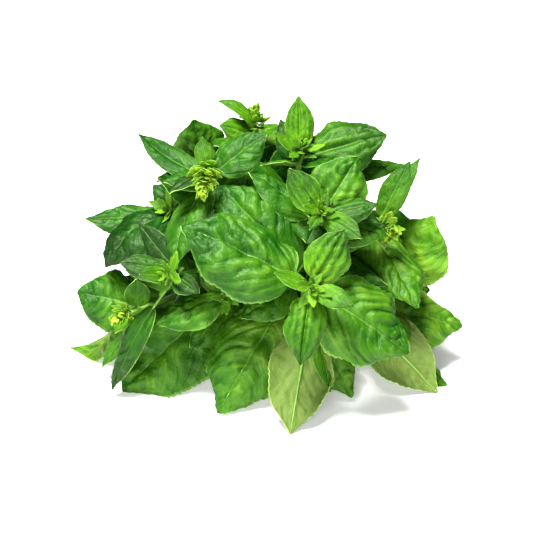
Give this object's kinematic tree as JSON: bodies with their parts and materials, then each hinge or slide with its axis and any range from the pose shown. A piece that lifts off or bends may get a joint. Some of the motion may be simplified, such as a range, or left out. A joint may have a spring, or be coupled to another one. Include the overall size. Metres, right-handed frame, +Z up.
{
  "type": "basil bunch",
  "caption": "Lying bunch of cut sweet basil: square stems gathered at their cut ends, fanning into a round mound of broad, veined, curling leaves with small flower buds.",
  "frame": {"origin": "middle of the bunch's footprint, on the surface it lies on", "axes": "+Z up; +Y along the stems towards their cut ends, so the leafy mound faces -Y; +X to the right as seen from the leafy side"},
  "size_m": [0.2294, 0.2554, 0.1512],
  "materials": {
    "fresh_basil": "fresh basil: satin, faintly glossy upper faces of the leaves, paler matt undersides, pale green stems, yellow-green buds"
  },
  "bodies": {
    "root": {"sprig_front": "fresh_basil", "sprig_top_front": "fresh_basil", "sprig_top": "fresh_basil", "sprig_top_back": "fresh_basil", "sprig_upper_left": "fresh_basil", "sprig_left": "fresh_basil", "sprig_low_left": "fresh_basil", "sprig_low_front_left": "fresh_basil", "sprig_low_front": "fresh_basil", "sprig_low_right": "fresh_basil", "sprig_right": "fresh_basil", "sprig_far_left": "fresh_basil", "sprig_back_left": "fresh_basil", "sprig_back_right": "fresh_basil"}
  },
  "joints": []
}
